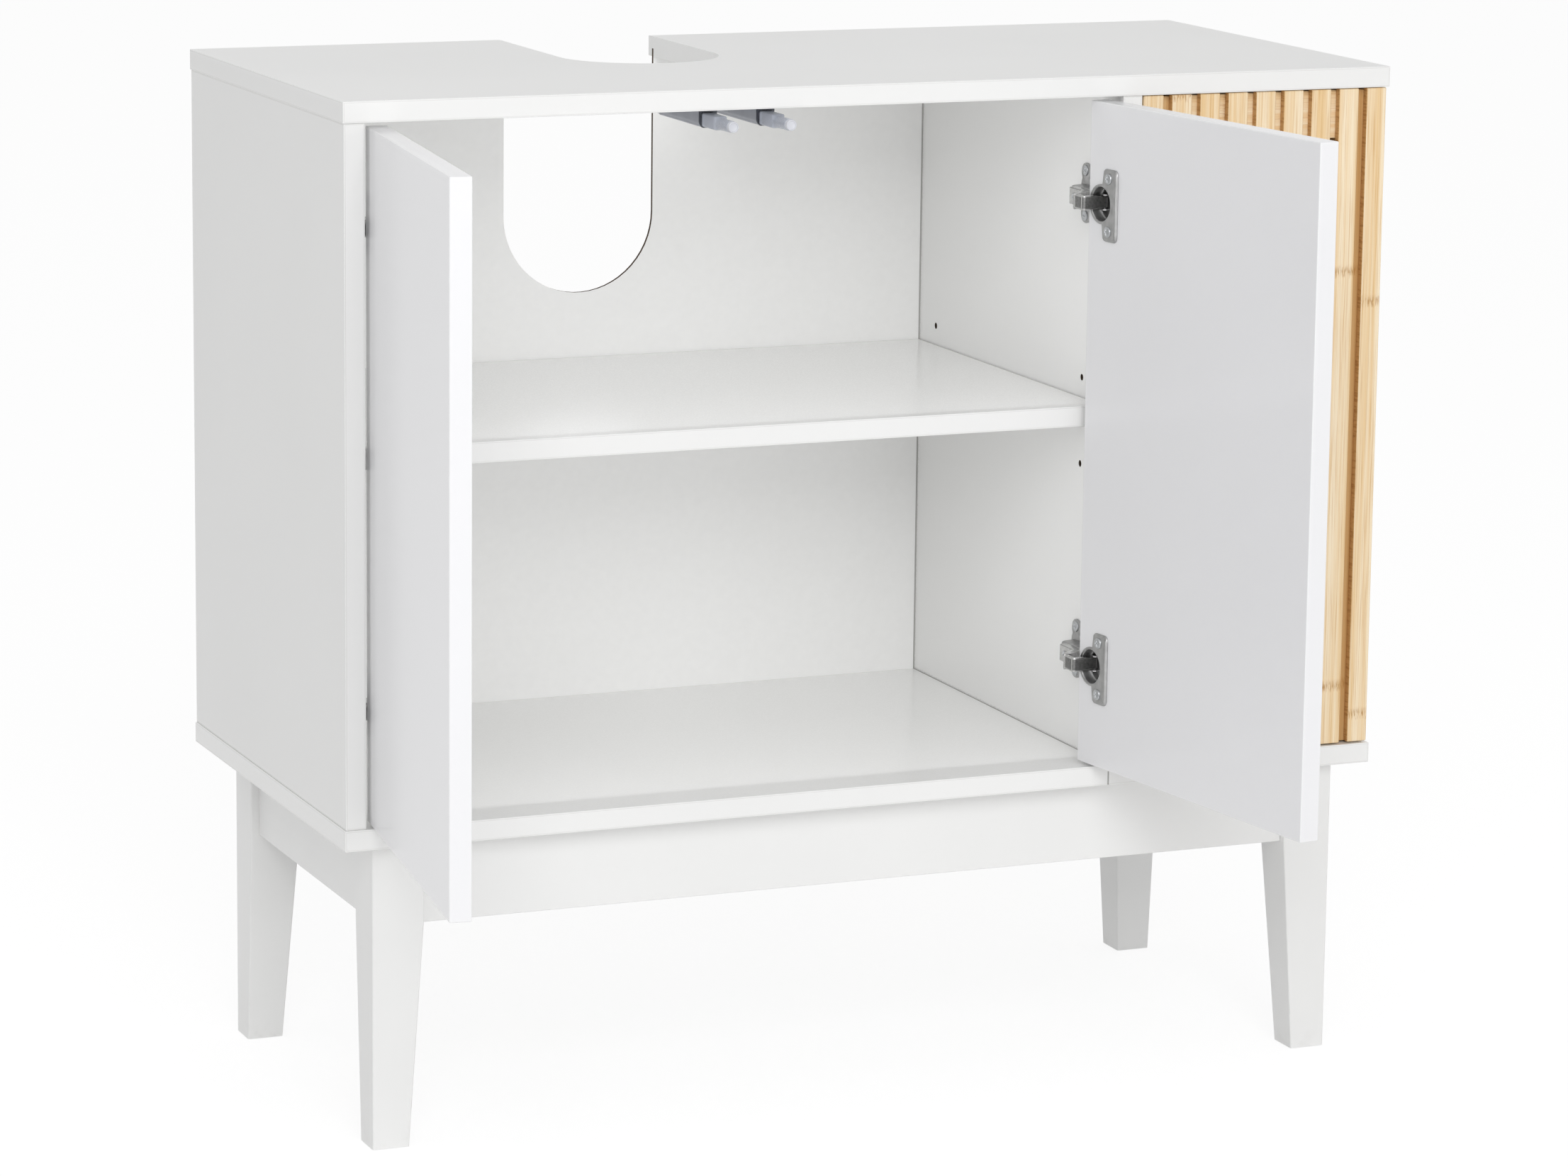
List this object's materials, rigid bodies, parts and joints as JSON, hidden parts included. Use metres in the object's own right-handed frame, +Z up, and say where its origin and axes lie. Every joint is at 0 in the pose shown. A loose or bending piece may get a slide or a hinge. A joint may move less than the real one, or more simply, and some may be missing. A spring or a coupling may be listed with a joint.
{
  "type": "vanity base cabinet",
  "caption": "White vanity base cabinet on tapered legs, with plain push-open doors on cup hinges, a shelf, a bamboo slatted door and pipe cut-outs in its top and back.",
  "frame": {"origin": "on the floor, under the middle of the carcass in width and depth", "axes": "+Z up, +X to the cabinet's right as seen from its front, +Y to its rear; the doors face -Y"},
  "size_m": [0.8155, 0.6242, 0.74],
  "materials": {
    "white_board": "white satin foil on board",
    "white_hardboard": "white painted hardboard",
    "gloss_door": "white gloss lacquer on board",
    "bamboo": "satin lacquered strips",
    "beech": "plain",
    "nickel_steel": "nickel plated pressed steel",
    "zinc_steel": "zinc plated",
    "grey_plastic": "moulded",
    "pale_plastic": "smooth",
    "clear_bumper": "soft translucent",
    "dark_plastic": "moulded"
  },
  "bodies": {
    "cabinet": {"adjust_screws": "zinc_steel", "back_panel": "white_hardboard", "bottom_board": "white_board", "carcass_screws": "zinc_steel", "dowels": "beech", "front_left_leg": "white_board", "front_rail": "white_board", "front_right_leg": "white_board", "hinge_plates": "nickel_steel", "latch_collars": "dark_plastic", "latch_screws": "zinc_steel", "left_hinge_arms": "nickel_steel", "left_latch_housing": "grey_plastic", "left_rail": "white_board", "left_side": "white_board", "partition": "white_board", "plate_screws": "zinc_steel", "rail_screws": "zinc_steel", "rear_left_leg": "white_board", "rear_rail": "white_board", "rear_right_leg": "white_board", "right_hinge_arms": "nickel_steel", "right_latch_housing": "grey_plastic", "right_rail": "white_board", "right_side": "white_board", "shelf": "white_board", "shelf_pins": "zinc_steel", "slatted_latch_housing": "grey_plastic", "swing_pins": "zinc_steel", "top_board": "white_board"},
    "left_leaf": {"left_door": "gloss_door", "left_hinge_cups": "nickel_steel", "left_hinge_pins": "zinc_steel", "left_cup_screws": "zinc_steel"},
    "right_leaf": {"right_door": "gloss_door", "right_hinge_cups": "nickel_steel", "right_hinge_pins": "zinc_steel", "right_cup_screws": "zinc_steel"},
    "slatted_leaf": {"slat_1": "bamboo", "slat_2": "bamboo", "slat_3": "bamboo", "slat_4": "bamboo", "slat_5": "bamboo", "slat_6": "bamboo", "slat_7": "bamboo", "slat_8": "bamboo", "slat_9": "bamboo", "slat_left_stile": "bamboo", "slat_right_stile": "bamboo", "slat_top_rail": "bamboo", "slat_bottom_rail": "bamboo", "slat_screws": "zinc_steel", "swing_bushes": "dark_plastic"},
    "left_push": {"left_plunger": "pale_plastic", "left_plunger_tip": "clear_bumper"},
    "right_push": {"right_plunger": "pale_plastic", "right_plunger_tip": "clear_bumper"},
    "slatted_push": {"slatted_plunger": "pale_plastic", "slatted_plunger_tip": "clear_bumper"}
  },
  "joints": [
    {"name": "left_door_hinge", "type": "hinge", "parent": "cabinet", "child": "left_leaf", "pos_m": [-0.374, -0.1725, 0.4795], "axis": [0, 0, 1], "range_deg": [0, 97.5]},
    {"name": "right_door_hinge", "type": "hinge", "parent": "cabinet", "child": "right_leaf", "pos_m": [0.175, -0.1725, 0.4795], "axis": [0, 0, -1], "range_deg": [0, 97.5]},
    {"name": "slatted_door_pivot", "type": "hinge", "parent": "cabinet", "child": "slatted_leaf", "pos_m": [0.3905, -0.166, 0.4796], "axis": [0, 0, 1], "range_deg": [0, 100]},
    {"name": "left_plunger_slide", "type": "slide", "parent": "cabinet", "child": "left_push", "axis": [0, 1, 0], "range_m": [0, 0.0299]},
    {"name": "right_plunger_slide", "type": "slide", "parent": "cabinet", "child": "right_push", "axis": [0, 1, 0], "range_m": [0, 0.0299]},
    {"name": "slatted_plunger_slide", "type": "slide", "parent": "cabinet", "child": "slatted_push", "axis": [0, -1, 0], "range_m": [0, 0.0299]}
  ],
  "couplings": [
    {"joint": "left_plunger_slide", "follows": "left_door_hinge", "m_per_rad": 0.017512},
    {"joint": "right_plunger_slide", "follows": "right_door_hinge", "m_per_rad": 0.017512},
    {"joint": "slatted_plunger_slide", "follows": "slatted_door_pivot", "m_per_rad": 0.017074}
  ]
}
